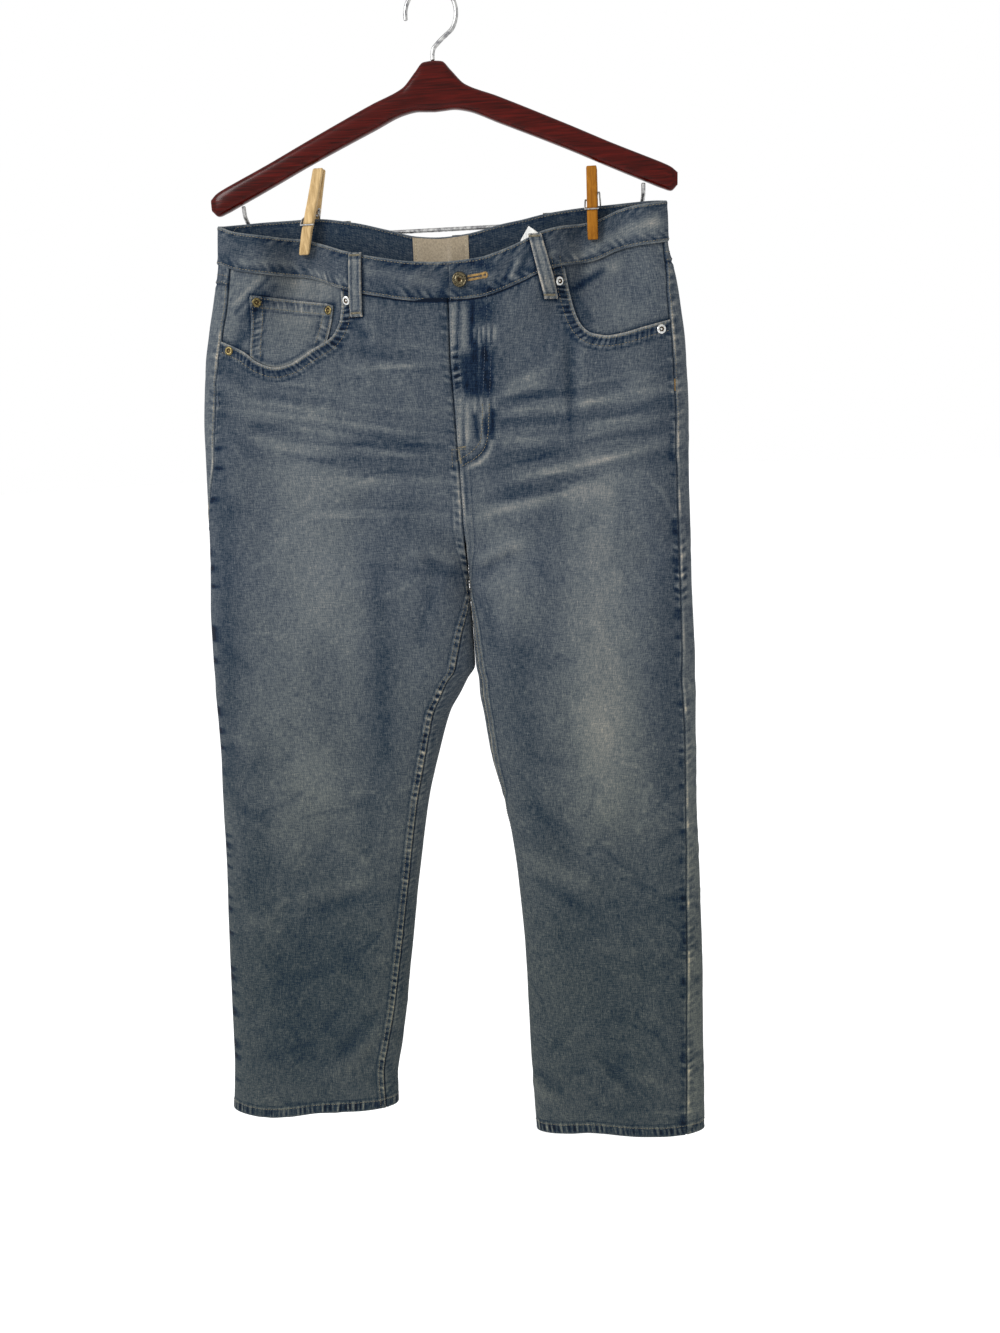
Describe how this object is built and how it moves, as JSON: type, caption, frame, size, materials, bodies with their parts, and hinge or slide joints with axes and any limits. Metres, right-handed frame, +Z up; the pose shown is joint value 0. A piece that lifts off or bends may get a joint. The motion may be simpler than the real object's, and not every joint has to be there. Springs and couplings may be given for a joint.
{
  "type": "straight leg jeans on a hanger",
  "caption": "Stonewashed straight leg denim jeans, hung flat by the waistband with clothespins from the trouser bar of a wooden suit hanger.",
  "frame": {"origin": "inside top of the hanger's hook, where a rail carries it", "axes": "+Z up, the front of the jeans faces -Y, +X to the wearer's left"},
  "size_m": [0.5673, 0.0617, 1.2188],
  "materials": {
    "denim": "stonewashed mid-blue denim, matt",
    "trim_antique": "antique brass, dull",
    "trim_bright": "polished, with a dark centre",
    "woven_label": "woven satin, bare",
    "white_label": "matt tape",
    "zip_tape": "woven tape",
    "dark_wood": "dark lacquer, semi-gloss",
    "pale_wood": "bare birch, waxed",
    "orange_wood": "bare wood, orange tan",
    "wire": "drawn wire, bright"
  },
  "bodies": {
    "root": {"front_right": "denim", "front_left": "denim", "back_right": "denim", "back_left": "denim", "yoke_right": "denim", "yoke_left": "denim", "pocket_facing_right": "denim", "pocket_facing_left": "denim", "coin_pocket": "denim", "back_pocket_right": "denim", "back_pocket_left": "denim", "waistband": "denim", "belt_loop_front_right": "denim", "belt_loop_front_left": "denim", "belt_loop_side_right": "denim", "belt_loop_side_left": "denim", "belt_loop_back": "denim", "fly_facing": "denim", "fly_shield": "denim", "zip": "zip_tape", "button": "trim_antique", "rivet_side_right": "trim_antique", "rivet_coin_outer": "trim_antique", "rivet_coin_inner": "trim_antique", "rivet_mouth_right": "trim_bright", "rivet_mouth_left": "trim_bright", "rivet_side_left": "trim_bright", "woven_label": "woven_label", "care_label": "white_label", "hanger_body": "dark_wood", "hanger_hook": "wire", "hanger_bar": "wire", "clothespin_right_spring": "wire", "clothespin_left_spring": "wire", "clothespin_right_front": "pale_wood", "clothespin_right_back": "pale_wood", "clothespin_left_front": "orange_wood", "clothespin_left_back": "orange_wood"}
  },
  "joints": []
}
